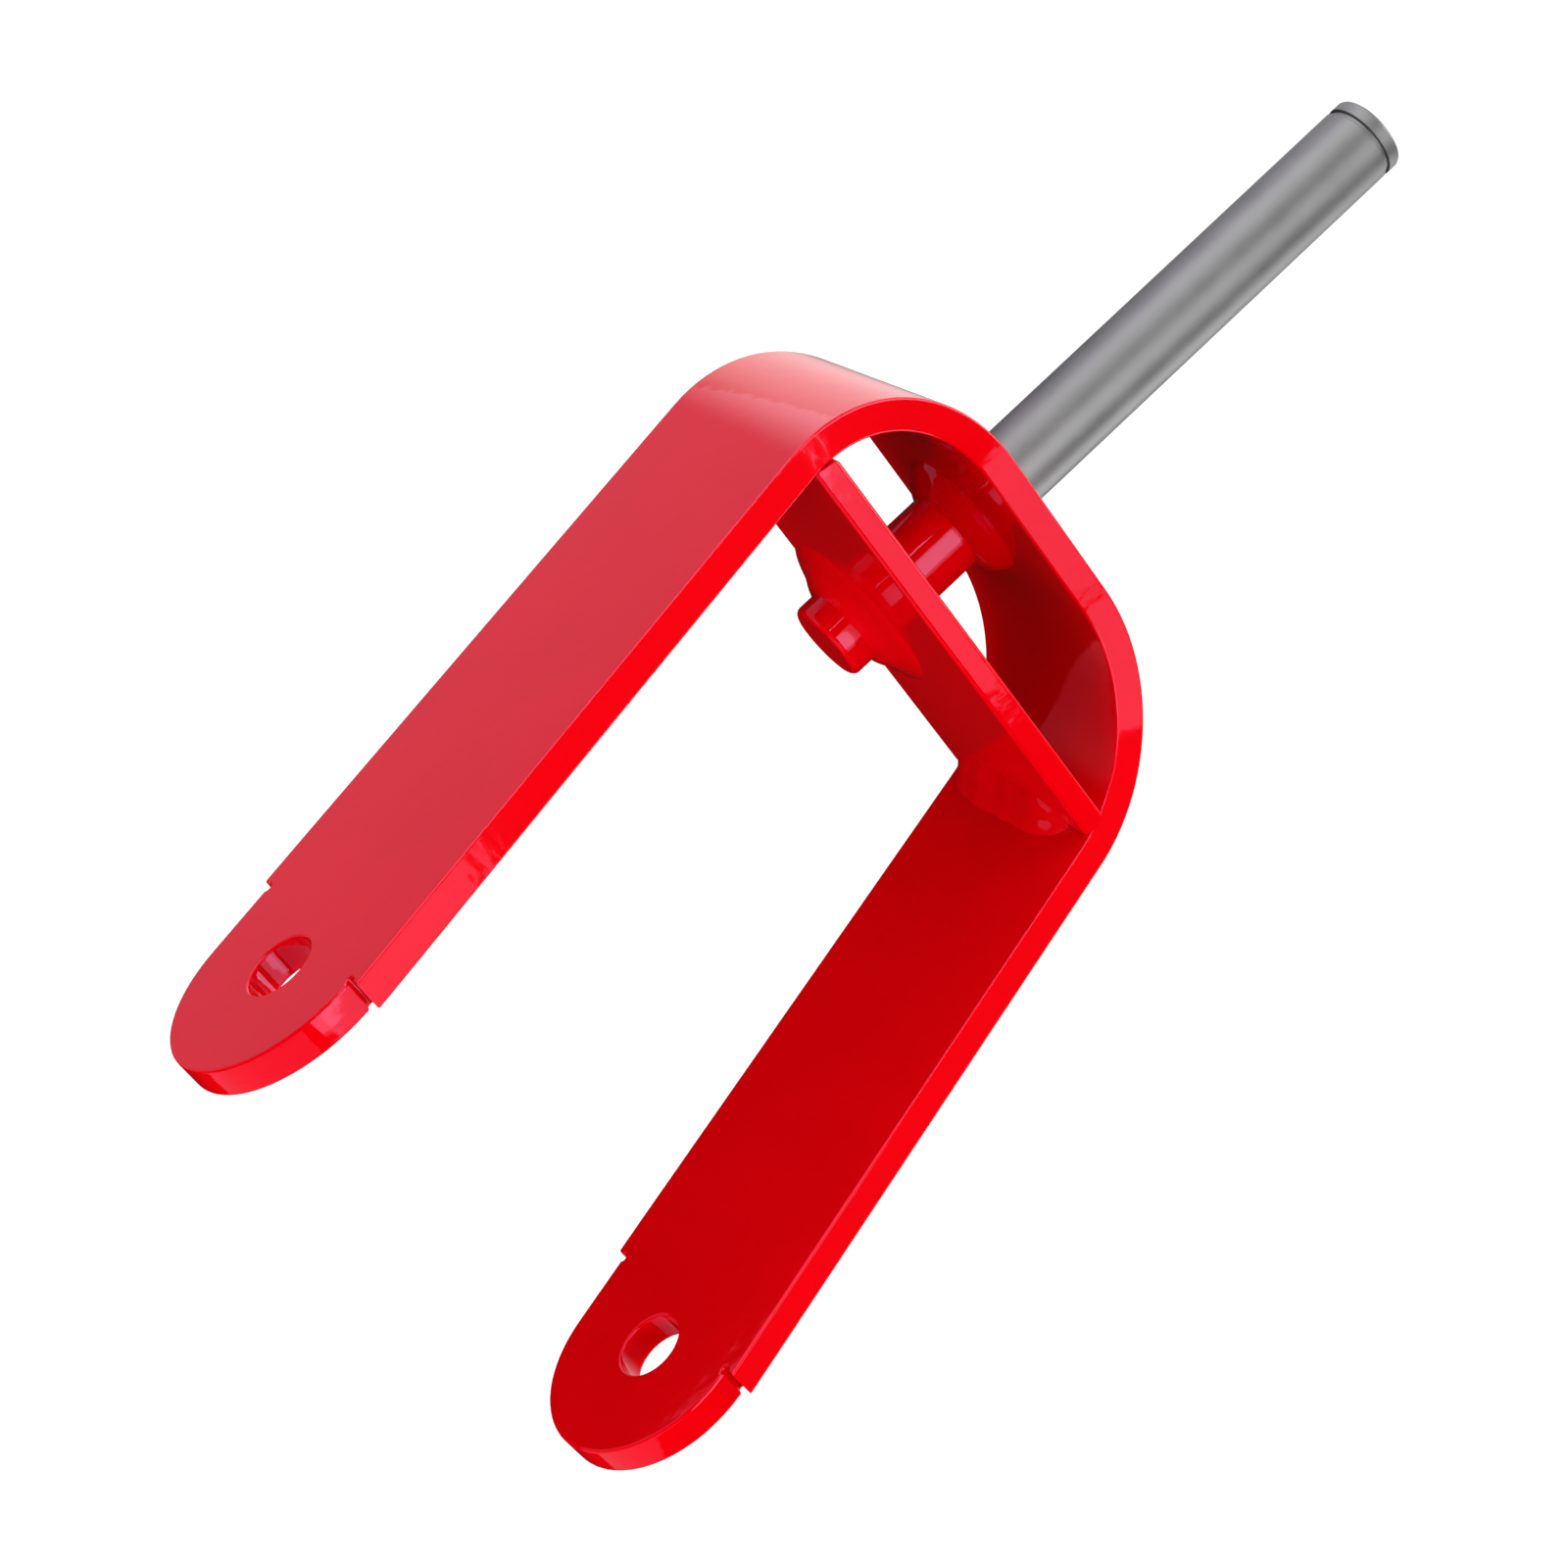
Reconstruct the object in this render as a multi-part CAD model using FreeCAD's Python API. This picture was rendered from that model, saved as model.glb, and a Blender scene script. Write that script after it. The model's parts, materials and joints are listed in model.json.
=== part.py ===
"""Trailing caster fork: a bent flat-bar fork, its cross plate, a turned stem and the weld beads.

Row frame, millimetres: +Z runs up the stem, the origin is on the stem's axis at the crown's
top face, +X runs across to the right leg, and the legs rake back towards -Y as they go down.
"""
import FreeCAD, Part
import math
import os

V = FreeCAD.Vector

# Fork bar: one plasma-cut blank of flat bar, bent twice
bar_width = 76.2            # across a leg, square to its edges
bar_thickness = 9.525
crown_half_flat = 26.0      # from the stem's axis to where each bend starts
bend_outer_radius = 56.0
leg_splay_deg = 1.1         # each leg leans outwards by this
leg_rake_deg = 18.3         # legs lean back from the stem's direction by this
crown_offset_y = -5.6       # middle of the bar's width at the crown

# Axle end of each leg
axle_drop = 243.0           # axle's axis below the crown's top face
axle_hole_dia = 19.5
tip_radius = 34.5           # round end, about the axle's axis
notch_rise = 11.2           # shoulder of the narrowed tip above the axle's axis
notch_relief_radius = 1.2

# Stem: round bar, turned from the crown upwards
journal_dia = 25.4
journal_top = 165.0
shank_dia = 25.8            # as rolled, where it passes through crown and plate
shank_drop = 66.5           # its lower end below the crown's top face
ring_groove_dia = 23.9
ring_groove_width = 1.4
ring_land = 4.8             # from the groove to the stem's top end
stem_top_chamfer = 1.2
stem_bottom_round = 2.0

# Cross plate
plate_thickness = 8.0
plate_drop = 44.5           # its top face below the crown's top face

# Welds
crown_weld_reach = 8.5      # how far the bead spreads over the crown from the stem
crown_weld_drop = 7.0       # how far it climbs along the stem
stem_end_weld_reach = 14.0
stem_end_weld_drop = 6.5
side_weld_reach = 8.0
side_weld_drop = 8.0
side_weld_setback = 12.0    # bead stops this far short of the plate's near edge
weld_crown_height = 0.8     # how far a bead's face bulges over a flat fillet

# Clearances
stem_hole_clearance = 0.15  # radial, in the crown and in the plate
plate_end_gap = 0.1         # from each plate end to the leg
weld_contact_gap = 0.02     # weld metal from the surface that it covers

rake = math.radians(leg_rake_deg)
splay = math.radians(leg_splay_deg)
bend_inner_radius = bend_outer_radius - bar_thickness
edge_reach_y = bar_width / 2 / math.cos(rake)
shank_radius = shank_dia / 2
tip_half_width = tip_radius
axle_y = crown_offset_y - math.tan(rake) * axle_drop
reach = axle_drop + 3 * tip_radius


def polygon_face(points):
    return Part.Face(Part.makePolygon(points + [points[0]]))


def leg_x(z, offset):
    """X of the right leg's straight face at height z, offset inwards from its outer face."""
    radius = bend_outer_radius - offset
    bend_end_x = crown_half_flat + radius * math.cos(splay)
    bend_end_z = -bend_outer_radius + radius * math.sin(splay)
    return bend_end_x + math.tan(splay) * (bend_end_z - z)


def half_path(offset, side):
    """Edges from the crown's middle down one leg, offset inwards from the outer face."""
    radius = bend_outer_radius - offset
    centre = V(side * crown_half_flat, 0, -bend_outer_radius)

    def on_bend(angle):
        return centre + V(side * radius * math.cos(angle), 0, radius * math.sin(angle))

    start = V(0, 0, -offset)
    top = on_bend(math.pi / 2)
    middle = on_bend(math.pi / 4)
    end = on_bend(splay)
    foot = V(side * leg_x(-reach, offset), 0, -reach)
    return [
        Part.LineSegment(start, top).toShape(),
        Part.Arc(top, middle, end).toShape(),
        Part.LineSegment(end, foot).toShape(),
    ]


def bent_section(offset_out, offset_in):
    """U section between two offsets from the bar's outer face, as a solid wide in Y."""
    edges = []
    for offset in (offset_out, offset_in):
        edges += half_path(offset, 1) + half_path(offset, -1)
    for side in (1, -1):
        outer_foot = V(side * leg_x(-reach, offset_out), 0, -reach)
        inner_foot = V(side * leg_x(-reach, offset_in), 0, -reach)
        edges.append(Part.LineSegment(outer_foot, inner_foot).toShape())
    face = Part.Face(Part.Wire(Part.__sortEdges__(edges)))
    face.translate(V(0, -reach, 0))
    return face.extrude(V(0, 2 * reach, 0))


def inside_space(gap):
    """Solid that fills the fork between its legs, held off the bar by gap."""
    offset = bar_thickness + gap
    edges = half_path(offset, 1) + half_path(offset, -1)
    feet = [V(side * leg_x(-reach, offset), 0, -reach) for side in (1, -1)]
    edges.append(Part.LineSegment(feet[0], feet[1]).toShape())
    face = Part.Face(Part.Wire(Part.__sortEdges__(edges)))
    face.translate(V(0, -reach, 0))
    return face.extrude(V(0, 2 * reach, 0))


def leg_frame(along, across):
    """Side-view point: along is down the leg from the axle, across is towards the far edge."""
    down = V(0, -math.sin(rake), -math.cos(rake))
    over = V(0, math.cos(rake), -math.sin(rake))
    return V(0, axle_y, -axle_drop) + down * along + over * across


def edge_curve(side, offset):
    """Cut edge of the blank on a face offset inwards, as wire edges from foot to foot."""
    radius = bend_outer_radius - offset
    slope = math.tan(rake)

    def on_bend(half, angle):
        outer_z = bend_outer_radius * (math.sin(angle) - 1)
        x = half * (crown_half_flat + radius * math.cos(angle))
        y = crown_offset_y + side * edge_reach_y + slope * outer_z
        return V(x, y, -bend_outer_radius + radius * math.sin(angle))

    def bend(half):
        steps = 8
        angles = [splay + (math.pi / 2 - splay) * i / steps for i in range(steps + 1)]
        curve = Part.BSplineCurve()
        curve.interpolate([on_bend(half, angle) for angle in angles])
        return curve.toShape()

    def foot(half):
        start = on_bend(half, splay)
        fall = reach - bend_outer_radius
        out = half * math.tan(splay) * fall
        return Part.LineSegment(start, start + V(out, -slope * fall, -fall)).toShape()

    crown = Part.LineSegment(on_bend(-1, math.pi / 2), on_bend(1, math.pi / 2)).toShape()
    return [foot(-1), bend(-1), crown, bend(1), foot(1)]


def edge_cutter(side):
    """Solids that trim the U section to the blank's cut edge, square to its faces."""
    margin = bar_thickness / 2
    outer = edge_curve(side, -margin)
    inner = edge_curve(side, bar_thickness + margin)
    faces = [Part.makeRuledSurface(a, b) for a, b in zip(outer, inner)]
    return [face.extrude(V(0, side * 2 * reach, 0)) for face in faces]


def tip_outline():
    """Narrowed round end of a leg, from well above the notches down."""
    arc_middle = leg_frame(tip_radius, 0)
    near_side = leg_frame(0, -tip_half_width)
    far_side = leg_frame(0, tip_half_width)
    near_top = leg_frame(-bar_width, -tip_half_width)
    far_top = leg_frame(-bar_width, tip_half_width)
    edges = [
        Part.Arc(near_side, arc_middle, far_side).toShape(),
        Part.LineSegment(far_side, far_top).toShape(),
        Part.LineSegment(far_top, near_top).toShape(),
        Part.LineSegment(near_top, near_side).toShape(),
    ]
    return Part.Face(Part.Wire(edges))


def across_x(face):
    face.translate(V(-reach, 0, 0))
    return face.extrude(V(2 * reach, 0, 0))


def notch_cutter():
    """Solid that narrows both legs below their shoulders, leaving the round tips."""
    notch_z = -axle_drop + notch_rise
    below = Part.makeBox(2 * reach, 4 * reach, reach, V(-reach, -2 * reach, notch_z - reach))
    cutter = below.cut(across_x(tip_outline()))
    middle_y = crown_offset_y - math.tan(rake) * (axle_drop - notch_rise)
    for side in (-1, 1):
        wall_y = middle_y + side * tip_half_width / math.cos(rake)
        relief_at = V(-reach, wall_y, notch_z - notch_relief_radius / 2)
        cutter = cutter.fuse(Part.makeCylinder(notch_relief_radius, 2 * reach, relief_at, V(1, 0, 0)))
    return cutter


def make_fork_bar():
    bar = bent_section(0, bar_thickness)
    for side in (-1, 1):
        for cutter in edge_cutter(side):
            bar = bar.cut(cutter)
    bar = bar.cut(notch_cutter())
    axle_hole = Part.makeCylinder(axle_hole_dia / 2, 2 * reach, V(-reach, axle_y, -axle_drop), V(1, 0, 0))
    hole_radius = shank_radius + stem_hole_clearance
    stem_hole = Part.makeCylinder(hole_radius, 2 * bar_thickness, V(0, 0, -1.5 * bar_thickness))
    return bar.cut(axle_hole).cut(stem_hole)


def turned(points):
    """Solid of revolution about Z from a closed (radius, height) outline."""
    face = polygon_face([V(r, 0, z) for r, z in points])
    return face.revolve(V(0, 0, 0), V(0, 0, 1), 360)


def make_stem():
    journal_radius = journal_dia / 2
    groove_radius = ring_groove_dia / 2
    groove_top = journal_top - ring_land
    groove_bottom = groove_top - ring_groove_width
    outline = [
        (0, -shank_drop),
        (shank_radius, -shank_drop),
        (shank_radius, 0),
        (journal_radius, 0),
        (journal_radius, groove_bottom),
        (groove_radius, groove_bottom),
        (groove_radius, groove_top),
        (journal_radius, groove_top),
        (journal_radius, journal_top - stem_top_chamfer),
        (journal_radius - stem_top_chamfer, journal_top),
        (0, journal_top),
    ]
    stem = turned(outline)
    rims = [edge for edge in stem.Edges if edge.BoundBox.ZMax < -shank_drop + 0.01 and edge.Closed]
    return stem.makeFillet(stem_bottom_round, rims)


def plate_edge_y(side):
    """Near (-1) or far (+1) edge of the cross plate, flush with the legs' edges beside it."""
    middle = -(plate_drop + plate_thickness / 2)
    return crown_offset_y + side * edge_reach_y + math.tan(rake) * middle


def make_cross_plate():
    bottom = -(plate_drop + plate_thickness)
    near = plate_edge_y(-1)
    far = plate_edge_y(1)
    slab = Part.makeBox(2 * reach, far - near, plate_thickness, V(-reach, near, bottom))
    plate = slab.common(inside_space(plate_end_gap))
    hole_radius = shank_radius + stem_hole_clearance
    hole = Part.makeCylinder(hole_radius, 3 * plate_thickness, V(0, 0, bottom - plate_thickness))
    return plate.cut(hole)


def bead_face(root, reach_out, drop, side):
    """Section of a fillet bead in the XZ plane, from its root corner outwards and down."""
    middle = V(root.x + side * reach_out / 2, 0, root.z - drop / 2)
    bulge = V(side * drop, 0, -reach_out).normalize() * weld_crown_height
    rim = V(root.x + side * reach_out, 0, root.z)
    toe = V(root.x, 0, root.z - drop)
    edges = [
        Part.LineSegment(root, rim).toShape(),
        Part.Arc(rim, middle + bulge, toe).toShape(),
        Part.LineSegment(toe, root).toShape(),
    ]
    return Part.Face(Part.Wire(edges))


def weld_ring(base_z, reach_out, drop):
    """Fillet bead round the shank, hanging from a face at base_z."""
    root = V(shank_radius + weld_contact_gap, 0, base_z - weld_contact_gap)
    return bead_face(root, reach_out, drop, 1).revolve(V(0, 0, 0), V(0, 0, 1), 360)


def make_crown_weld():
    return weld_ring(-bar_thickness, crown_weld_reach, crown_weld_drop)


def make_stem_end_weld():
    """Bead round the stem's lower end, cut off where the plate's far edge stops it."""
    ring = weld_ring(-plate_drop - plate_thickness, stem_end_weld_reach, stem_end_weld_drop)
    beyond = Part.makeBox(2 * reach, reach, 2 * reach, V(-reach, plate_edge_y(1), -2 * reach))
    return ring.cut(beyond)


def make_side_weld(side):
    """Fillet bead between the plate's underside and one leg, stopped short of its near edge."""
    top = -(plate_drop + plate_thickness + weld_contact_gap)
    near = plate_edge_y(-1) + side_weld_setback
    wall = leg_x(top, bar_thickness)
    root = V(side * (wall + bar_thickness / 2), 0, top)
    spread = side_weld_reach + bar_thickness / 2
    face = bead_face(root, spread, side_weld_drop, -side)
    face.translate(V(0, near, 0))
    bead = face.extrude(V(0, plate_edge_y(1) - near, 0))
    return bead.common(inside_space(weld_contact_gap))


os.makedirs("parts", exist_ok=True)
nodes = {
    "fork_bar": make_fork_bar(),
    "cross_plate": make_cross_plate(),
    "stem": make_stem(),
    "crown_weld": make_crown_weld(),
    "stem_end_weld": make_stem_end_weld(),
    "right_plate_weld": make_side_weld(1),
    "left_plate_weld": make_side_weld(-1),
}
for name, shape in nodes.items():
    shape.Solids[0].exportStep("parts/" + name + ".step")
    print(name, len(shape.Solids), shape.isValid(), round(shape.Volume))
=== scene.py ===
import json
import math
import bmesh
import bpy
from mathutils import Matrix, Vector


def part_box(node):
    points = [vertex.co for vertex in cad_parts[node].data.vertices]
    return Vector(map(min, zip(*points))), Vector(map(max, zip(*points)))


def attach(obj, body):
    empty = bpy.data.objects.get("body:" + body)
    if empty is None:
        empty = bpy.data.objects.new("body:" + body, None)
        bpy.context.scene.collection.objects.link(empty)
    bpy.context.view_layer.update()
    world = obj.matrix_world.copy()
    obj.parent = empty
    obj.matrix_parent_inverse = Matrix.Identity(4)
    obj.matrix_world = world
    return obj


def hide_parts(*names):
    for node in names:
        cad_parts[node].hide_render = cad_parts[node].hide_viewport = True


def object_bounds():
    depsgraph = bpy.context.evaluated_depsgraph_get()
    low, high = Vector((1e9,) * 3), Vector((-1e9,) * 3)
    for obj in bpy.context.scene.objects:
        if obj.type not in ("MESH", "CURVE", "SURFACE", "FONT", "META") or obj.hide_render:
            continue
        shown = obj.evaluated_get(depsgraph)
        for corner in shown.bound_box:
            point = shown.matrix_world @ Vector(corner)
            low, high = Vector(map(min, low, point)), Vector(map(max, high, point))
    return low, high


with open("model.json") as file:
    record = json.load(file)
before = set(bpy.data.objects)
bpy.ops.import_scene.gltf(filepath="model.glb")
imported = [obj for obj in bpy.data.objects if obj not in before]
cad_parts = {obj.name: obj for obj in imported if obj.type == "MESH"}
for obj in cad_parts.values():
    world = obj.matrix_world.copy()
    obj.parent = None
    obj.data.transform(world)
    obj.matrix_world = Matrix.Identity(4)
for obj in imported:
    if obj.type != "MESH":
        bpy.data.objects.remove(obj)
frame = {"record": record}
cad_low, cad_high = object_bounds()

# ---------------------------------------------------------------------------------------------
# Fork bar. One blank of 3 by 3/8 inch hot-rolled flat bar, plasma cut with its hole and two
# narrowed round ends, then pressed over a round tool twice to make the crown and both legs.
# Its cut rims are dressed round, and the whole fork is powder coated after welding.
# ---------------------------------------------------------------------------------------------
MM = 0.001
bar_thickness = 9.525 * MM
bar_width = 76.2 * MM
half_flat = 26.0 * MM           # from the stem's axis to where each bend starts
bend_radius = 56.0 * MM         # of the bar's outer face
splay = math.radians(1.1)
rake = math.radians(18.3)
crown_y = -5.6 * MM             # middle of the bar's width at the crown
bend_angle = math.pi / 2 - splay
half_reach = bar_width / 2 / math.cos(rake)
bend_length = bend_radius * bend_angle
leg_start_z = bend_radius * (math.sin(splay) - 1)

axle = next(m for m in frame["record"]["mounts"] if m["name"] == "axle")
axle_y, axle_z = axle["pos_m"][1:]
axle_hole_radius = 9.75 * MM
tip_radius = 34.5 * MM
notch_z = axle_z + 11.2 * MM    # shoulder of the narrowed end
relief_radius = 1.2 * MM
rim_radius = 0.8 * MM           # dressed and coated rims
shank_radius = 12.9 * MM
stem_hole_radius = shank_radius + 0.15 * MM
hole_steps = 64


def on_blank(y, z):
    """Place on the flat blank, (run, across), of a point on a leg's outer face."""
    run = half_flat + bend_length + (leg_start_z - z) / math.cos(splay)
    return run, y - crown_y - math.tan(rake) * z


def arc(y, z, radius, start, sweep, steps):
    """Points of an arc in the leg's side view, angles in degrees from +Y."""
    angles = [math.radians(start + sweep * i / steps) for i in range(steps + 1)]
    return [(y + radius * math.cos(a), z + radius * math.sin(a)) for a in angles]


def tip_outline(cut_z):
    """One leg's end on the blank: near edge, notch, round end, notch and far edge."""
    def middle(z):
        return crown_y + math.tan(rake) * z

    shoulder_left, shoulder_right = 150, 30   # where a relief's circle crosses the shoulder
    wall = tip_radius / math.cos(rake)
    relief_z = notch_z - relief_radius / 2
    near_y = middle(notch_z) - wall
    far_y = middle(notch_z) + wall
    gap = math.hypot(near_y - axle_y, relief_z - axle_z)
    to_axle = math.degrees(math.atan2(axle_z - relief_z, axle_y - near_y))
    meet = (gap ** 2 + relief_radius ** 2 - tip_radius ** 2) / (2 * gap * relief_radius)
    near_end = to_axle - math.degrees(math.acos(meet))
    near_relief = arc(near_y, relief_z, relief_radius, shoulder_left, near_end - shoulder_left, 13)
    start = math.degrees(math.atan2(near_relief[-1][1] - axle_z, near_relief[-1][0] - axle_y))
    sweep = 360 - math.degrees(rake) - start
    round_end = arc(axle_y, axle_z, tip_radius, start, sweep, 44)
    far_start = 270 - math.degrees(rake) - math.degrees(math.asin(math.sin(rake) / 2))
    far_relief = arc(far_y, relief_z, relief_radius, far_start, shoulder_right - far_start, 11)
    side_view = [(middle(cut_z) - half_reach, cut_z), (middle(notch_z) - half_reach, notch_z)]
    side_view += near_relief + round_end[1:] + far_relief
    side_view += [(middle(notch_z) + half_reach, notch_z), (middle(cut_z) + half_reach, cut_z)]
    return [on_blank(y, z) for y, z in side_view]


def sheet_round_hole(bm, outline, hole, first, last):
    """Two flat faces that meet on a line through a hole, from corner first to corner last. The
    hole's points start beside corner last and go round the same way as the outline."""
    half = len(hole) // 2
    one = outline[first:last + 1] + hole[:half + 1]
    other = outline[last:] + outline[:first + 1] + hole[half:] + hole[:1]
    for loop in (one, other):
        bm.faces.new([bm.verts.new((x, y, 0)) for x, y in loop])


def drilled_rectangle(bm, half_length, low_y, high_y, hole_radius, hole_y):
    """Flat rectangle about X = 0 with a round hole."""
    outline = [(0, low_y), (-half_length, low_y), (-half_length, high_y),
               (0, high_y), (half_length, high_y), (half_length, low_y)]
    angles = [math.pi / 2 + math.tau * i / hole_steps for i in range(hole_steps)]
    hole = [(hole_radius * math.cos(a), hole_y + hole_radius * math.sin(a)) for a in angles]
    sheet_round_hole(bm, outline, hole, 0, 3)


cut_z = notch_z + 12.0 * MM     # where the plain strip of the leg ends and its cut end starts
bend_steps = 26
blank = bmesh.new()
drilled_rectangle(blank, half_flat, -half_reach, half_reach, stem_hole_radius, -crown_y)
outline = tip_outline(cut_z)
open_turn = 360 * (hole_steps - 1) / hole_steps
axle_circle = arc(axle_y, axle_z, axle_hole_radius, 0, -open_turn, hole_steps - 1)
axle_hole = [on_blank(y, z) for y, z in axle_circle]
past_hole = [i for i, corner in enumerate(outline) if corner[0] >= on_blank(axle_y, axle_z)[0]]
for side in (-1, 1):
    runs = [half_flat + bend_length * i / bend_steps for i in range(bend_steps + 1)]
    runs.append(outline[0][0])
    for start, end in zip(runs, runs[1:]):
        corners = [(start, -half_reach), (end, -half_reach), (end, half_reach), (start, half_reach)]
        blank.faces.new([blank.verts.new((side * x, y, 0)) for x, y in corners])
    sheet_round_hole(blank, [(side * x, y) for x, y in outline],
                     [(side * x, y) for x, y in axle_hole], past_hole[0], past_hole[-1])


def thicken(bm, thickness):
    """Turns a flat sheet at Z = 0 into a closed slab below it, and marks its rims for rounding."""
    bmesh.ops.remove_doubles(bm, verts=bm.verts, dist=1e-6)
    grown = bmesh.ops.extrude_face_region(bm, geom=bm.faces[:])["geom"]
    lower = [item for item in grown if isinstance(item, bmesh.types.BMVert)]
    bmesh.ops.translate(bm, verts=lower, vec=(0, 0, -thickness))
    bmesh.ops.recalc_face_normals(bm, faces=bm.faces)
    weight = bm.edges.layers.float.new("bevel_weight_edge")
    for edge in bm.edges:
        walls = [abs(face.normal.z) < 0.5 for face in edge.link_faces]
        edge[weight] = float(any(walls) and not all(walls))


def new_piece(name, bm):
    """Object at the origin from a bmesh, shaded smooth."""
    mesh = bpy.data.meshes.new(name)
    bm.to_mesh(mesh)
    bm.free()
    mesh.shade_smooth()
    piece = bpy.data.objects.new(name, mesh)
    bpy.context.scene.collection.objects.link(piece)
    return piece


def round_rims(piece, radius):
    """Rounds the edges that thicken has marked."""
    bevel = piece.modifiers.new("rounded rims", "BEVEL")
    bevel.limit_method = "WEIGHT"
    bevel.width = radius
    bevel.segments = 4
    bevel.use_clamp_overlap = False


thicken(blank, bar_thickness)
fork_bar = new_piece("bent_fork_bar", blank)
round_rims(fork_bar, rim_radius)


def add(tree, kind, inputs=(), **settings):
    """Adds a node with its settings; an input is a value or the socket that feeds it."""
    made = tree.nodes.new(kind)
    for name, value in settings.items():
        setattr(made, name, value)
    for key, value in dict(inputs).items():
        if isinstance(value, bpy.types.NodeSocket):
            tree.links.new(value, made.inputs[key])
        else:
            made.inputs[key].default_value = value
    return made


def linear(hex_colour):
    """Linear RGBA of an sRGB hex colour."""
    channels = [int(hex_colour[i:i + 2], 16) / 255 for i in (1, 3, 5)]
    return [c / 12.92 if c <= 0.04045 else ((c + 0.055) / 1.055) ** 2.4 for c in channels] + [1.0]


def powder_coat():
    """Gloss polyester powder, baked on at about 80 microns. It flows out to a thick, wet-looking
    skin with a faint orange peel 2 to 6 mm across, so the borders of reflections waver. The tint
    takes green out of its reflections, which are rose on the real coat and not salmon."""
    material = bpy.data.materials.new("gloss_red_powder_coat")
    material.use_nodes = True
    tree = material.node_tree
    shader = tree.nodes["Principled BSDF"]
    place = add(tree, "ShaderNodeTexCoord").outputs["Object"]
    cloud = add(tree, "ShaderNodeTexNoise", {"Vector": place, "Scale": 28.0, "Detail": 2.0})
    tone = add(tree, "ShaderNodeMix", {"Factor": cloud.outputs["Fac"]}, data_type="RGBA")
    tone.inputs["A"].default_value = linear("#DC0008")
    tone.inputs["B"].default_value = linear("#EC000C")
    tree.links.new(tone.outputs["Result"], shader.inputs["Base Color"])
    shader.inputs["Roughness"].default_value = 0.06
    shader.inputs["IOR"].default_value = 1.5
    shader.inputs["Specular Tint"].default_value = linear("#FFC4FF")
    swell = add(tree, "ShaderNodeTexNoise", {"Vector": place, "Scale": 170.0, "Detail": 1.0})
    peel = add(tree, "ShaderNodeTexNoise", {"Vector": place, "Scale": 520.0, "Detail": 1.0})
    height = add(tree, "ShaderNodeMath", {0: peel.outputs["Fac"], 1: 0.22, 2: swell.outputs["Fac"]},
                 operation="MULTIPLY_ADD")
    bump = add(tree, "ShaderNodeBump", {"Height": height.outputs[0], "Strength": 1.0,
                                        "Distance": 0.05 * MM})
    tree.links.new(bump.outputs["Normal"], shader.inputs["Normal"])
    return material


paint = powder_coat()


def new_tree(name, sizes):
    """Geometry node tree with a mesh input and output and one float input for each size."""
    tree = bpy.data.node_groups.new(name, "GeometryNodeTree")
    tree.interface.new_socket("Mesh", in_out="INPUT", socket_type="NodeSocketGeometry")
    tree.interface.new_socket("Mesh", in_out="OUTPUT", socket_type="NodeSocketGeometry")
    for size in sizes:
        tree.interface.new_socket(size, in_out="INPUT", socket_type="NodeSocketFloat")
    return tree


def run_sums(tree, known, sums):
    """Adds a Math node for each row (name, operation, inputs...); inputs name earlier rows."""
    for name, operation, *terms in sums:
        inputs = {i: known.get(term, term) for i, term in enumerate(terms)}
        known[name] = add(tree, "ShaderNodeMath", inputs, operation=operation).outputs[0]


bend_sizes = {"Half flat": half_flat, "Bend radius": bend_radius, "Bend angle": bend_angle,
              "Rake slope": math.tan(rake), "Crown offset": crown_y}
press = new_tree("press brake bend", bend_sizes)
entry = add(press, "NodeGroupInput")
place = add(press, "ShaderNodeSeparateXYZ", {0: add(press, "GeometryNodeInputPosition").outputs[0]})
known = {axis: place.outputs[axis] for axis in "XYZ"}
known.update({size: entry.outputs[size] for size in bend_sizes})
run_sums(press, known, (
    ("run", "ABSOLUTE", "X"),
    ("side", "SIGN", "X"),
    ("flat", "MINIMUM", "run", "Half flat"),
    ("past flat", "SUBTRACT", "run", "Half flat"),
    ("turn", "DIVIDE", "past flat", "Bend radius"),
    ("turn from zero", "MAXIMUM", "turn", 0.0),
    ("angle", "MINIMUM", "turn from zero", "Bend angle"),
    ("bent", "MULTIPLY", "angle", "Bend radius"),
    ("past bend", "SUBTRACT", "past flat", "bent"),
    ("leg", "MAXIMUM", "past bend", 0.0),
    ("sine", "SINE", "angle"),
    ("cosine", "COSINE", "angle"),
    ("radius", "ADD", "Bend radius", "Z"),
    ("bend x", "MULTIPLY_ADD", "radius", "sine", "flat"),
    ("x", "MULTIPLY_ADD", "leg", "cosine", "bend x"),
    ("bend height", "MULTIPLY", "radius", "cosine"),
    ("leg fall", "MULTIPLY_ADD", "leg", "sine", "Bend radius"),
    ("z", "SUBTRACT", "bend height", "leg fall"),
    ("depth", "MULTIPLY", "Z", "cosine"),
    ("outer z", "SUBTRACT", "z", "depth"),
    ("raked y", "MULTIPLY_ADD", "outer z", "Rake slope", "Y"),
    ("y", "ADD", "raked y", "Crown offset"),
    ("signed x", "MULTIPLY", "x", "side"),
))
bent_place = add(press, "ShaderNodeCombineXYZ",
                 {"X": known["signed x"], "Y": known["y"], "Z": known["z"]})
bent = add(press, "GeometryNodeSetPosition",
           {"Geometry": entry.outputs["Mesh"], "Position": bent_place.outputs[0]})
real = add(press, "GeometryNodeRealizeInstances", {0: bent.outputs[0]})
coated = add(press, "GeometryNodeSetMaterial", {"Geometry": real.outputs[0], "Material": paint})
add(press, "NodeGroupOutput", {0: coated.outputs[0]})


def fit_modifier(piece, tree, sizes):
    """Puts the tree on a piece and sets its inputs by their identifiers."""
    modifier = piece.modifiers.new(tree.name, "NODES")
    modifier.node_group = tree
    for item in tree.interface.items_tree:
        if item.in_out == "INPUT" and item.name in sizes:
            modifier[item.identifier] = sizes[item.name]


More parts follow.
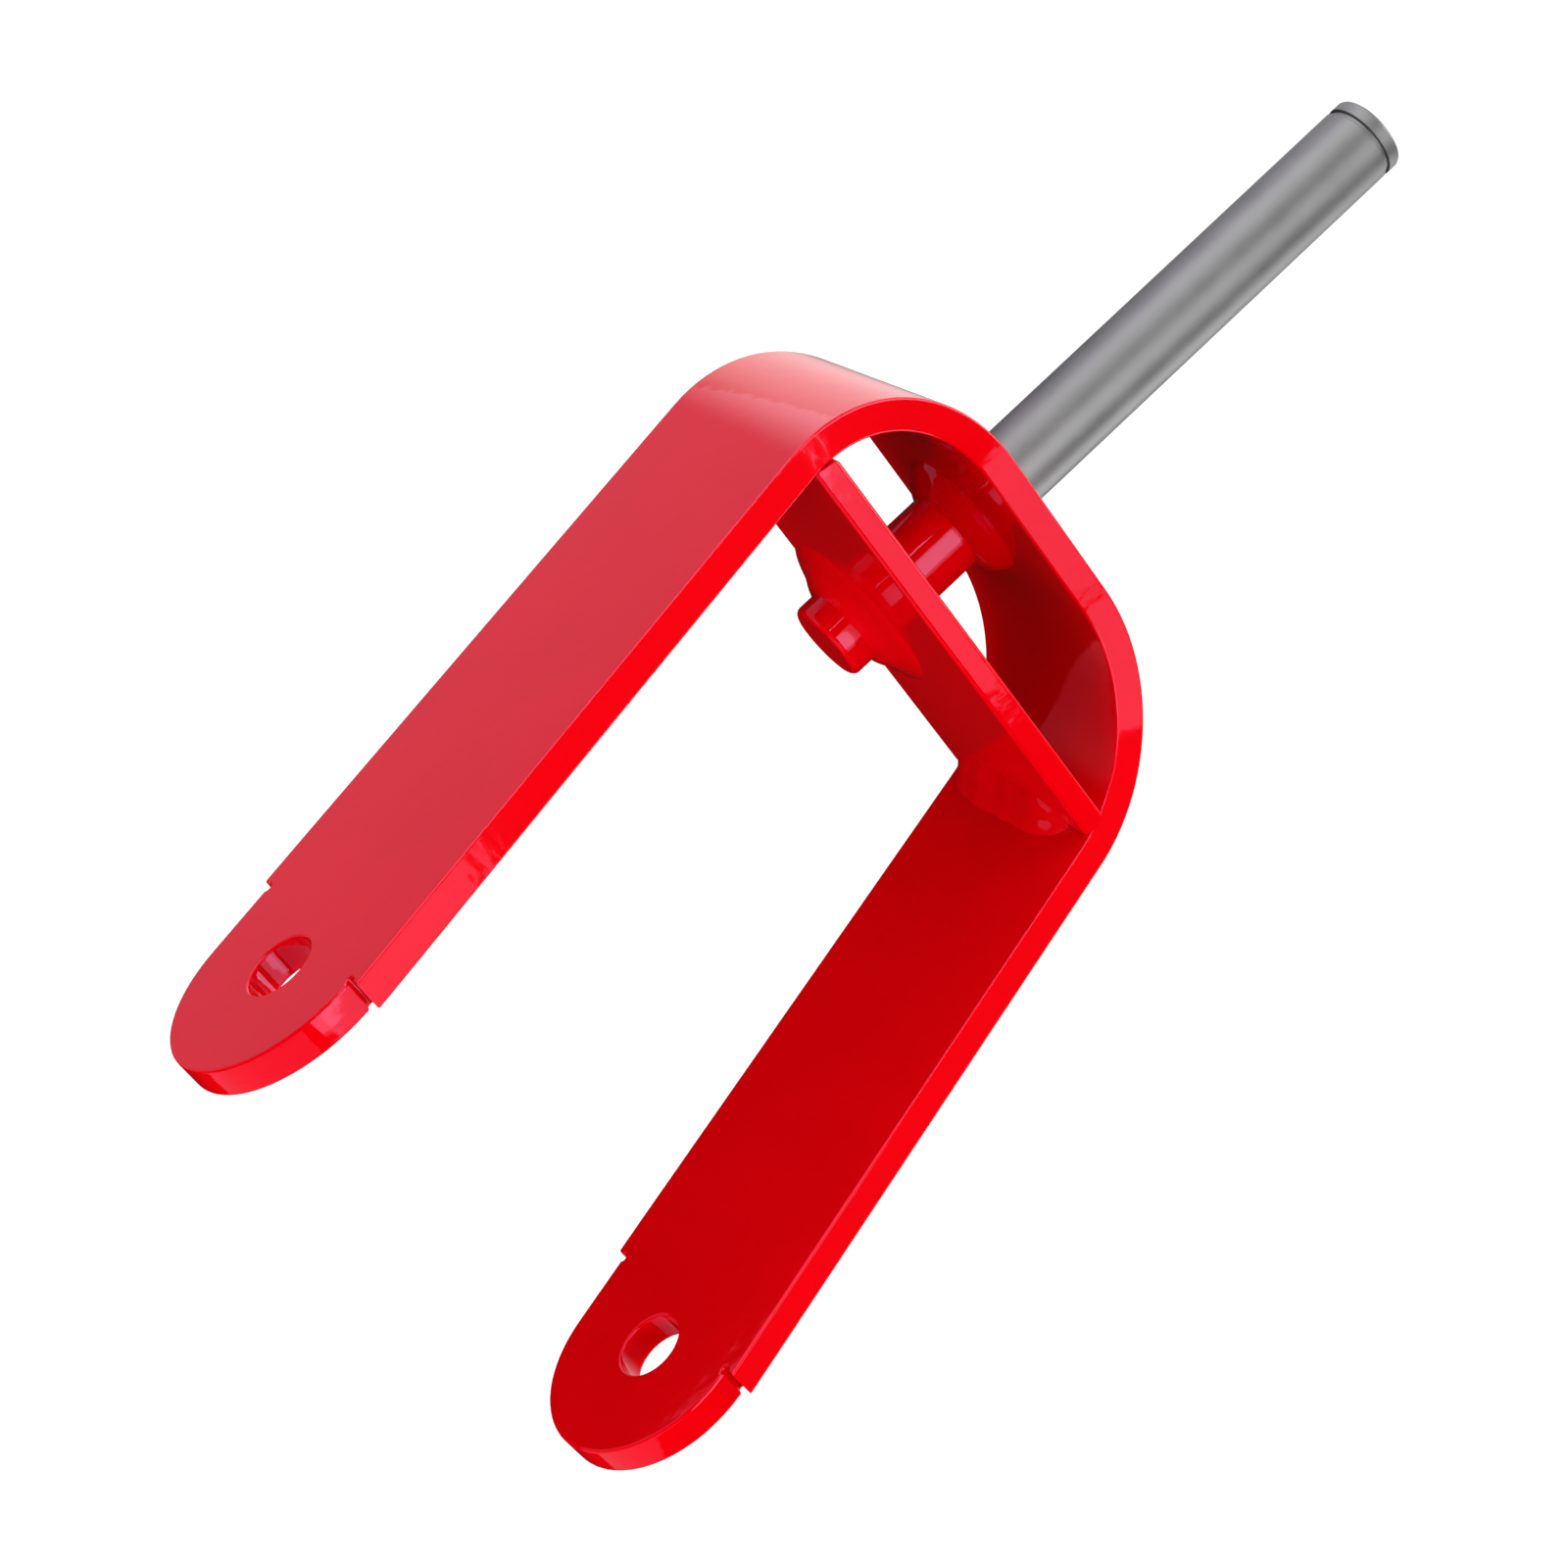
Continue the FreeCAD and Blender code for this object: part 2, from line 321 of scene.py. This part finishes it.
def bake(piece):
    """Replaces a piece's live modifiers with the plain mesh that they make."""
    graph = bpy.context.evaluated_depsgraph_get()
    mesh = bpy.data.meshes.new_from_object(piece.evaluated_get(graph))
    piece.modifiers.clear()
    piece.data = mesh


def settle(piece, sharp_degrees=35):
    """Bakes a piece and shades it smooth, with flat faces kept flat beside their round rims."""
    bake(piece)
    piece.data.shade_smooth()
    piece.data.set_sharp_from_angle(angle=math.radians(sharp_degrees))
    even = piece.modifiers.new("even shading", "WEIGHTED_NORMAL")
    even.keep_sharp = True
    even.weight = 100
    bake(piece)


fit_modifier(fork_bar, press, bend_sizes)
settle(fork_bar)
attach(fork_bar, "root")
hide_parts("fork_bar")

# ---------------------------------------------------------------------------------------------
# Cross plate. A short piece of 8 mm plate across the fork under the crown, which steadies the
# stem's lower end. Its ends are sheared to fit the legs and welded to them from below.
# ---------------------------------------------------------------------------------------------
plate_low, plate_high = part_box("cross_plate")
plate_thickness = plate_high[2] - plate_low[2]
plate_gap = 0.1 * MM


def inside_x(z, gap):
    """X of the right bend's inner face at height z, held off it by gap."""
    radius = bend_radius - bar_thickness - gap
    angle = math.asin(max(math.sin(splay), min(1.0, (z + bend_radius) / radius)))
    return half_flat + radius * math.cos(angle)


plate = bmesh.new()
plate_end = inside_x(plate_low[2], plate_gap)
drilled_rectangle(plate, plate_end, plate_low[1], plate_high[1], stem_hole_radius, 0)
thicken(plate, plate_thickness)
bmesh.ops.translate(plate, verts=plate.verts, vec=(0, 0, plate_high[2]))
for vertex in plate.verts:
    if abs(vertex.co.x) > plate_end - MM:
        vertex.co.x = math.copysign(inside_x(vertex.co.z, plate_gap), vertex.co.x)
cross_plate = new_piece("sheared_cross_plate", plate)
round_rims(cross_plate, 1.5 * MM)
cross_plate.data.materials.append(paint)
settle(cross_plate)
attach(cross_plate, "root")
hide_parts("cross_plate")

# ---------------------------------------------------------------------------------------------
# Stem. One inch cold-drawn round bar, turned and ground as a bearing journal above the crown,
# with a groove for a retaining ring near its top. Masked when the fork was coated, so only the
# part below the crown is red.
# ---------------------------------------------------------------------------------------------
stem_low, stem_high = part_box("stem")
journal_radius = 12.7 * MM
groove_radius = 11.95 * MM
groove_top = stem_high[2] - 4.8 * MM
groove_bottom = groove_top - 1.4 * MM
paint_line = 0.3 * MM           # above the crown's top face


def satin_steel():
    """Ground mild steel, oiled and faintly dulled by storage: a soft, broad highlight along the
    bar, fine lines round it from the grinding wheel and a mottled grey bloom. The lines, 0.5 mm
    apart, and the grit are several times coarser than real ones, so that they show."""
    material = bpy.data.materials.new("satin_ground_steel")
    material.use_nodes = True
    tree = material.node_tree
    shader = tree.nodes["Principled BSDF"]
    place = add(tree, "ShaderNodeTexCoord").outputs["Object"]
    bloom = add(tree, "ShaderNodeTexNoise", {"Vector": place, "Scale": 70.0, "Detail": 5.0,
                                             "Roughness": 0.62})
    tone = add(tree, "ShaderNodeMix", {"Factor": bloom.outputs["Fac"]}, data_type="RGBA")
    tone.inputs["A"].default_value = linear("#7A7A7A")
    tone.inputs["B"].default_value = linear("#949495")
    tree.links.new(tone.outputs["Result"], shader.inputs["Base Color"])
    shader.inputs["Metallic"].default_value = 1.0
    gloss = add(tree, "ShaderNodeMapRange", {"Value": bloom.outputs["Fac"], "To Min": 0.44,
                                             "To Max": 0.54})
    tree.links.new(gloss.outputs[0], shader.inputs["Roughness"])
    squash = add(tree, "ShaderNodeMapping", {"Vector": place, "Scale": (120.0, 120.0, 2200.0)})
    lines = add(tree, "ShaderNodeTexNoise", {"Vector": squash.outputs[0], "Scale": 1.0,
                                             "Detail": 2.0})
    grit = add(tree, "ShaderNodeTexNoise", {"Vector": place, "Scale": 1600.0, "Detail": 1.0})
    height = add(tree, "ShaderNodeMath", {0: grit.outputs["Fac"], 1: 0.6, 2: lines.outputs["Fac"]},
                 operation="MULTIPLY_ADD")
    bump = add(tree, "ShaderNodeBump", {"Height": height.outputs[0], "Strength": 0.6,
                                        "Distance": 0.02 * MM})
    tree.links.new(bump.outputs["Normal"], shader.inputs["Normal"])
    return material


def lathe(profile, around):
    """Closed bmesh turned about Z from (radius, height) points, lowest first."""
    bm = bmesh.new()
    rings = []
    for radius, height in profile:
        angles = [math.tau * i / around for i in range(around)]
        rings.append([bm.verts.new((radius * math.cos(a), radius * math.sin(a), height))
                      for a in angles])
    for lower, upper in zip(rings, rings[1:]):
        for i in range(around):
            j = (i + 1) % around
            bm.faces.new((lower[i], lower[j], upper[j], upper[i]))
    bm.faces.new(rings[0][::-1])
    bm.faces.new(rings[-1])
    return bm


def corner_round(radius, height, size, start):
    """Quarter round of a turned corner, as (radius, height) points from angle start."""
    steps = 5
    angles = [math.radians(start + 90 * i / steps) for i in range(steps + 1)]
    return [(radius + size * math.cos(a), height + size * math.sin(a)) for a in angles]


foot_round = 2.0 * MM
edge_round = 0.25 * MM
chamfer = 1.2 * MM
chamfer_blend = (0.4 * MM, 0.45 * MM)   # in from the journal and down from the top
masking_step = 0.2 * MM         # below the crown's top face, where the shank narrows
stem_profile = corner_round(shank_radius - foot_round, stem_low[2] + foot_round, foot_round, -90)
stem_profile += [(shank_radius, -masking_step), (journal_radius, paint_line)]
stem_profile += [(journal_radius, groove_bottom - edge_round)]
stem_profile += [(journal_radius - edge_round, groove_bottom), (groove_radius, groove_bottom)]
stem_profile += [(groove_radius, groove_top), (journal_radius - edge_round, groove_top)]
stem_profile += [(journal_radius, groove_top + edge_round), (journal_radius, stem_high[2] - chamfer)]
stem_profile += [(journal_radius - chamfer_blend[0], stem_high[2] - chamfer_blend[1])]
stem_profile += [(journal_radius - chamfer, stem_high[2])]
stem = new_piece("turned_stem", lathe(stem_profile, around=128))
stem.data.materials.append(satin_steel())
stem.data.materials.append(paint)
for face in stem.data.polygons:
    face.material_index = int(face.center.z < paint_line)
settle(stem, sharp_degrees=30)
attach(stem, "root")
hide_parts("stem")

# ---------------------------------------------------------------------------------------------
# Weld beads. Mild steel laid by MIG torch before coating: a ring under the crown and a broad
# mound under the plate hold the stem, and a bead under each plate end holds it to the leg.
# The powder fills their ripples, so they show as soft, uneven swellings.
# ---------------------------------------------------------------------------------------------
weld_inputs = ("Reach", "Drop", "Flatness", "Ripple", "Ripple pitch", "Lumps", "Wander",
               "Open ends", "Seed")
end_steepness = 5.0             # higher makes blunter ends
end_fullness = 0.8
bead = new_tree("weld bead", weld_inputs)
entry = add(bead, "NodeGroupInput")
known = {size: entry.outputs[size] for size in weld_inputs}
path = add(bead, "GeometryNodeMeshToCurve", {0: entry.outputs["Mesh"]})
upright = add(bead, "GeometryNodeSetCurveNormal", {0: path.outputs[0]}, mode="Z_UP")
along = add(bead, "GeometryNodeSplineParameter")
wander = add(bead, "ShaderNodeTexNoise", {"Scale": 60.0, "Detail": 1.0, "W": known["Seed"]},
             noise_dimensions="4D")
known.update({"length": along.outputs["Length"], "factor": along.outputs["Factor"],
              "uneven": wander.outputs["Fac"]})
run_sums(bead, known, (
    ("turns", "DIVIDE", "length", "Ripple pitch"),
    ("phase", "MULTIPLY", "turns", math.tau),
    ("wave", "SINE", "phase"),
    ("rippled", "MULTIPLY_ADD", "wave", "Ripple", 1.0),
    ("centred", "SUBTRACT", "uneven", 0.5),
    ("width", "MULTIPLY_ADD", "centred", "Wander", "rippled"),
    ("from middle", "MULTIPLY_ADD", "factor", 2.0, -1.0),
    ("towards end", "ABSOLUTE", "from middle"),
    ("steep", "POWER", "towards end", end_steepness),
    ("shrink", "MULTIPLY", "steep", "Open ends"),
    ("left", "SUBTRACT", 1.02, "shrink"),
    ("taper", "POWER", "left", end_fullness),
    ("size", "MULTIPLY", "width", "taper"),
))
quarter = add(bead, "GeometryNodeCurveArc",
              {"Resolution": 14, "Radius": 1.0, "Start Angle": 0.0, "Sweep Angle": math.pi / 2,
               "Connect Center": True})
spot = add(bead, "ShaderNodeSeparateXYZ", {0: add(bead, "GeometryNodeInputPosition").outputs[0]})
known.update({"across": spot.outputs["X"], "down": spot.outputs["Y"]})
run_sums(bead, known, (
    ("corner", "MULTIPLY", "across", "down"),
    ("pull", "MULTIPLY", "corner", "Flatness"),
    ("fill", "SUBTRACT", 1.0, "pull"),
    ("wide", "MULTIPLY", "Reach", "fill"),
    ("high", "MULTIPLY", "Drop", "fill"),
    ("section x", "MULTIPLY", "across", "wide"),
    ("section y", "MULTIPLY", "down", "high"),
))
section_place = add(bead, "ShaderNodeCombineXYZ", {"X": known["section x"], "Y": known["section y"]})
section = add(bead, "GeometryNodeSetPosition",
              {"Geometry": quarter.outputs[0], "Position": section_place.outputs[0]})
swept = add(bead, "GeometryNodeCurveToMesh",
            {"Curve": upright.outputs[0], "Profile Curve": section.outputs[0],
             "Scale": known["size"], "Fill Caps": True})
lump = add(bead, "ShaderNodeTexNoise", {"Scale": 75.0, "Detail": 1.5, "W": known["Seed"]},
           noise_dimensions="4D")
known["lump"] = lump.outputs["Fac"]
run_sums(bead, known, (
    ("lump centred", "SUBTRACT", "lump", 0.5),
    ("lump height", "MULTIPLY", "lump centred", "Lumps"),
))
push = add(bead, "ShaderNodeVectorMath",
           {0: add(bead, "GeometryNodeInputNormal").outputs[0], "Scale": known["lump height"]},
           operation="SCALE")
lumpy = add(bead, "GeometryNodeSetPosition", {"Geometry": swept.outputs[0], "Offset": push.outputs[0]})
real = add(bead, "GeometryNodeRealizeInstances", {0: lumpy.outputs[0]})
coated = add(bead, "GeometryNodeSetMaterial", {"Geometry": real.outputs[0], "Material": paint})
add(bead, "NodeGroupOutput", {0: coated.outputs[0]})


def path_piece(name, points, closed):
    """Object whose mesh is only the bead's path."""
    bm = bmesh.new()
    verts = [bm.verts.new(point) for point in points]
    pairs = zip(verts, verts[1:] + (verts[:1] if closed else []))
    for pair in pairs:
        bm.edges.new(pair)
    return new_piece(name, bm)


def weld(name, node, points, closed, **sizes):
    """Bead along a path, in place of a CAD node; sizes are the tree's inputs in small letters."""
    piece = path_piece(name, points, closed)
    shown = {key.replace("_", " ").capitalize(): value for key, value in sizes.items()}
    shown["Open ends"] = 0.0 if closed else 1.0
    fit_modifier(piece, bead, shown)
    settle(piece, sharp_degrees=60)
    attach(piece, "root")
    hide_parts(node)
    return piece


def ring_points(radius, z):
    """Points round the stem at a height."""
    steps = 150
    angles = [math.tau * i / steps for i in range(steps)]
    return [(radius * math.cos(a), radius * math.sin(a), z) for a in angles]


fusion = 0.1 * MM               # how far a bead sinks into the steel above it
weld("crown_ring_weld", "crown_weld", ring_points(shank_radius, -bar_thickness + fusion), True,
     reach=8.3 * MM, drop=7.0 * MM, flatness=0.3, ripple=0.006,
     ripple_pitch=5.4 * MM, lumps=0.5 * MM, wander=0.2, seed=3.0)

stem_end_weld = weld("stem_end_weld_mound", "stem_end_weld",
                     ring_points(shank_radius, plate_low[2] + fusion), True,
                     reach=14.0 * MM, drop=6.4 * MM, flatness=0.62, ripple=0.003,
                     ripple_pitch=6.0 * MM, lumps=0.5 * MM, wander=0.16, seed=8.0)

# The mound stops at the plate's far edge, where the torch ran out of plate.
trimmed = bmesh.new()
trimmed.from_mesh(stem_end_weld.data)
cut = bmesh.ops.bisect_plane(trimmed, geom=trimmed.verts[:] + trimmed.edges[:] + trimmed.faces[:],
                             plane_co=(0, plate_high[1], 0), plane_no=(0, 1, 0), clear_outer=True)
rim = [item for item in cut["geom_cut"] if isinstance(item, bmesh.types.BMEdge)]
bmesh.ops.holes_fill(trimmed, edges=rim)
trimmed.to_mesh(stem_end_weld.data)
trimmed.free()

side_setback = 10.0 * MM        # from the plate's near edge
side_inset = 3.0 * MM           # from the plate's far edge
side_steps = 90
for side, name in ((1, "right"), (-1, "left")):
    near_y = plate_low[1] + side_setback
    far_y = plate_high[1] - side_inset
    wall_x = inside_x(plate_low[2], 0.0) + 2 * fusion
    ys = [near_y + (far_y - near_y) * i / side_steps for i in range(side_steps + 1)]
    if side == 1:
        ys.reverse()
    weld(name + "_plate_end_weld", name + "_plate_weld",
         [(side * wall_x, y, plate_low[2] + fusion) for y in ys], False,
         reach=9.5 * MM, drop=9.0 * MM, flatness=0.6, ripple=0.004, ripple_pitch=5.5 * MM,
         lumps=0.4 * MM, wander=0.5, seed=11.0 + side)

# ---------------------------------------------------------------------------------------------
# Studio. A pale paper floor well below the fork, a surround that is bright only behind and above
# it, one large softbox by the camera and smaller ones to the sides. Gloss red looks pink wherever
# it mirrors something bright, so the low parts face dark and the bend's top faces light.
# ---------------------------------------------------------------------------------------------
centre = (cad_low + cad_high) / 2
floor_mesh = bpy.data.meshes.new("floor")
half_floor = 1.0
floor_drop = 1.2
floor_z = cad_low[2] - floor_drop
floor_mesh.from_pydata([(x * half_floor, y * half_floor, floor_z)
                        for x, y in ((-1, -1), (1, -1), (1, 1), (-1, 1))], [], [(0, 1, 2, 3)])
floor = bpy.data.objects.new("floor", floor_mesh)
bpy.context.scene.collection.objects.link(floor)
floor_paint = bpy.data.materials.new("white_paper_floor")
floor_paint.use_nodes = True
floor_tree = floor_paint.node_tree
floor_shader = floor_tree.nodes["Principled BSDF"]
floor_shader.inputs["Base Color"].default_value = linear("#C4C4C4")
floor_shader.inputs["Roughness"].default_value = 0.9
floor_shader.inputs["Emission Color"].default_value = linear("#FFFFFF")
floor_tree.links.new(add(floor_tree, "ShaderNodeLightPath").outputs["Is Camera Ray"],
                     floor_shader.inputs["Emission Strength"])
floor_mesh.materials.append(floor_paint)
floor.visible_glossy = False        # a card stands in for it in the reflections

world = bpy.data.worlds.new("white surround")
bpy.context.scene.world = world
world.use_nodes = True
sky = world.node_tree
heading = add(sky, "ShaderNodeSeparateXYZ", {0: add(sky, "ShaderNodeTexCoord").outputs["Generated"]})
behind = add(sky, "ShaderNodeMapRange", {"Value": heading.outputs["Y"], "From Min": -0.3,
                                         "From Max": 0.5, "To Min": 0.04, "To Max": 1.0},
             interpolation_type="SMOOTHSTEP")
above = add(sky, "ShaderNodeMapRange", {"Value": heading.outputs["Z"], "From Min": 0.2,
                                        "From Max": 0.45, "To Min": 0.005, "To Max": 1.1},
            interpolation_type="SMOOTHSTEP")
glow = add(sky, "ShaderNodeMath", {0: behind.outputs[0], 1: above.outputs[0]}, operation="MULTIPLY")
seen = add(sky, "ShaderNodeMix", {"Factor": add(sky, "ShaderNodeLightPath").outputs["Is Camera Ray"],
                                  "A": glow.outputs[0], "B": 1.1})
backdrop = sky.nodes["Background"]
backdrop.inputs["Color"].default_value = linear("#FFFFFF")
sky.links.new(seen.outputs[0], backdrop.inputs["Strength"])


def area_light(name, place, away, width, height, radiance):
    """Rectangular light at a place, shining against the direction away."""
    data = bpy.data.lights.new(name, "AREA")
    data.shape = "RECTANGLE"
    data.size = width
    data.size_y = height
    data.energy = radiance * math.pi * width * height
    lamp = bpy.data.objects.new(name, data)
    lamp.location = place
    lamp.rotation_mode = "QUATERNION"
    lamp.rotation_quaternion = away.to_track_quat("Z", "Y")
    bpy.context.scene.collection.objects.link(lamp)
    return lamp


def softbox(name, azimuth, elevation, distance, width, height, radiance):
    """Light facing the fork; azimuth 0 is from -Y and +90 from +X."""
    a, e = math.radians(azimuth), math.radians(elevation)
    away = Vector((math.sin(a) * math.cos(e), -math.cos(a) * math.cos(e), math.sin(e)))
    return area_light(name, centre + away * distance, away, width, height, radiance)


softbox("key softbox", 0, -1, 1.3, 1.1, 0.85, 2.6)
softbox("front panel", 7, 12, 1.7, 1.5, 1.3, 1.3)
softbox("left strip", -46, 8, 1.3, 0.09, 1.0, 4.0)
softbox("left softbox", -78, 25, 1.4, 1.2, 1.2, 2.1)
softbox("high softbox", 20, 68, 1.4, 1.0, 1.0, 3.6)
softbox("right fill", 85, 10, 1.5, 1.0, 1.2, 2.6)
low_fill = softbox("low fill", -25, -65, 1.2, 1.0, 1.0, 2.7)
low_fill.visible_glossy = False     # it deepens the red of the undersides without a reflection

# Two cool-white cards close to the fork, one beside the left leg and one under both round ends,
# give the legs' flat faces and the ends' edges their even pink sheen.
left_card = area_light("left card", (-0.288, 0.051, -0.07), Vector((-0.489, 0.8625, 0)),
                       0.38, 0.95, 0.47)
low_card = area_light("low card", (0.13, -0.355, -0.5), Vector((0, 0, -1)),
                      0.34, 0.79, 0.45)
for card in (left_card, low_card):
    card.data.color = (0.88, 0.8, 1.0)
    card.visible_camera = False

# Camera: a short telephoto view from the left and a little below, rolled so the fork lies
# across the frame.
azimuth, elevation, roll = (math.radians(a) for a in (-29.557, -7.438, 46.605))
aim = Vector((25.51, 0.86, -102.16)) * MM
camera_distance = 906.53 * MM
back = Vector((math.sin(azimuth) * math.cos(elevation),
               -math.cos(azimuth) * math.cos(elevation), math.sin(elevation)))
level = Vector((math.cos(azimuth), math.sin(azimuth), 0))
right = level * math.cos(roll) + back.cross(level) * math.sin(roll)
up = back.cross(right)
camera = bpy.data.objects.new("camera", bpy.data.cameras.new("camera"))
camera.data.sensor_width = 36.0
camera.data.lens = 69.76
camera.data.clip_start = 0.05
camera.data.clip_end = 50.0
camera.rotation_mode = "QUATERNION"
camera.rotation_quaternion = Matrix((right, up, back)).transposed().to_quaternion()
camera.location = aim + back * camera_distance
bpy.context.scene.collection.objects.link(camera)
bpy.context.scene.camera = camera
bpy.context.scene.view_settings.view_transform = "Standard"
